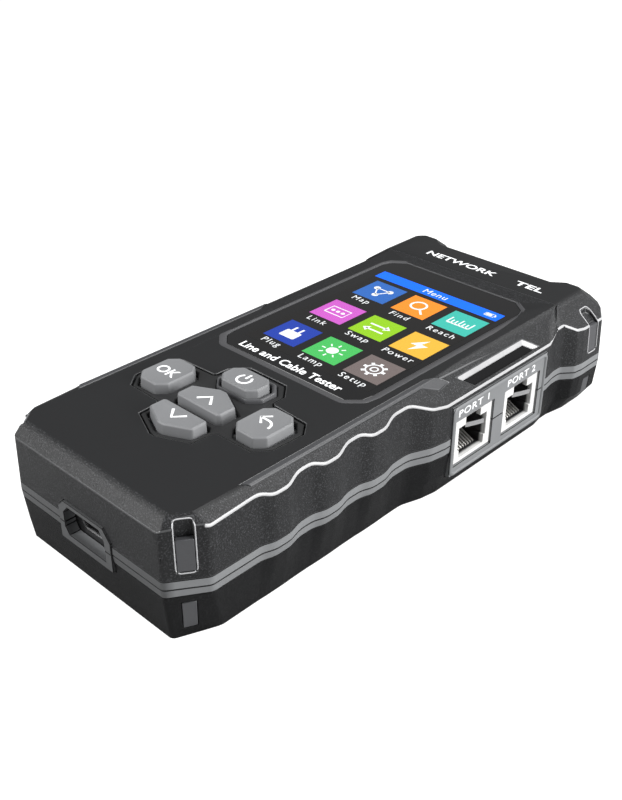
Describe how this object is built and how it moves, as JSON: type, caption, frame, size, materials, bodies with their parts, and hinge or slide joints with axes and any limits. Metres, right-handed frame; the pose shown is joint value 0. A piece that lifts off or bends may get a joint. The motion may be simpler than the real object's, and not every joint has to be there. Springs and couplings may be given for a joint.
{
  "type": "network cable tester",
  "caption": "Handheld network cable tester with a colour display, five press keys, side and end sockets, and a finger-grooved two-shell case with a grey seam band",
  "frame": {"origin": "centre of the flat back face, on the surface it lies on", "axes": "+Z out of the display face, +Y towards the end sockets, +X towards the side sockets"},
  "size_m": [0.0774, 0.1599, 0.035],
  "materials": {
    "shell_black": "satin black ABS face with fine spark texture on the slopes",
    "trim_grey": "matte mid-grey moulded trim",
    "key_grey": "matte grey keycaps with white legends",
    "collar_dark": "dark grey collar",
    "stem_plastic": "natural plastic plungers",
    "silicone": "translucent dark silicone",
    "steel": "stainless spring steel and screws",
    "lens": "smoked acrylic lens over the display",
    "lcd": "display glass",
    "lcd_metal": "pressed backlight frame",
    "flex": "amber flexible circuit",
    "gasket": "black adhesive foam gasket",
    "board": "green solder mask on glass epoxy",
    "chip": "moulded chip packages",
    "led": "clear light emitters",
    "jack_plastic": "white jack housings",
    "contact": "plated spring contacts",
    "tongue": "black insulator",
    "cell": "foil pouch",
    "connector": "cream connector",
    "lead": "insulated leads",
    "plate": "blank rating plate"
  },
  "bodies": {
    "root": {"battery_cell": "cell", "battery_foam": "gasket", "battery_leads": "lead", "battery_plug": "connector", "board_screws": "steel", "buzzer": "chip", "case_screws": "steel", "end_jack": "jack_plastic", "end_jack_contacts": "contact", "front_shell": "shell_black", "keypad_mat": "silicone", "keypad_plate": "shell_black", "lcd_frame": "lcd_metal", "lcd_glass": "lcd", "lcd_tail": "flex", "left_strip": "trim_grey", "lens_gasket": "gasket", "line_transformers": "chip", "lower_band": "trim_grey", "lower_inlays": "trim_grey", "main_board": "board", "phone_jack": "jack_plastic", "phone_jack_contacts": "contact", "power_collar": "collar_dark", "processor": "chip", "rating_plate": "plate", "rear_shell": "shell_black", "right_strip": "trim_grey", "screen_lens": "lens", "side_jack_1": "jack_plastic", "side_jack_1_contacts": "contact", "side_jack_2": "jack_plastic", "side_jack_2_contacts": "contact", "signal_chips": "chip", "snap_domes": "steel", "status_leds": "led", "status_window": "lens", "upper_band": "trim_grey", "upper_inlays": "trim_grey", "usb_bezel": "shell_black", "usb_board": "board", "usb_shell": "steel", "usb_tongue": "tongue"},
    "ok_button": {"ok_key": "key_grey", "ok_stem": "stem_plastic"},
    "back_button": {"back_key": "key_grey", "back_stem": "stem_plastic"},
    "power_button": {"power_key": "key_grey", "power_stem": "stem_plastic"},
    "up_button": {"up_key": "key_grey", "up_stem": "stem_plastic"},
    "down_button": {"down_key": "key_grey", "down_stem": "stem_plastic"}
  },
  "joints": [
    {"name": "ok_press", "type": "slide", "parent": "root", "child": "ok_button", "axis": [0, 0, -1], "range_m": [0, 0.0008], "stiffness_N_per_m": 2500},
    {"name": "back_press", "type": "slide", "parent": "root", "child": "back_button", "axis": [0, 0, -1], "range_m": [0, 0.0008], "stiffness_N_per_m": 2500},
    {"name": "power_press", "type": "slide", "parent": "root", "child": "power_button", "axis": [0, 0, -1], "range_m": [0, 0.0008], "stiffness_N_per_m": 2500},
    {"name": "up_press", "type": "slide", "parent": "root", "child": "up_button", "axis": [0, 0, -1], "range_m": [0, 0.0008], "stiffness_N_per_m": 2500},
    {"name": "down_press", "type": "slide", "parent": "root", "child": "down_button", "axis": [0, 0, -1], "range_m": [0, 0.0008], "stiffness_N_per_m": 2500}
  ]
}
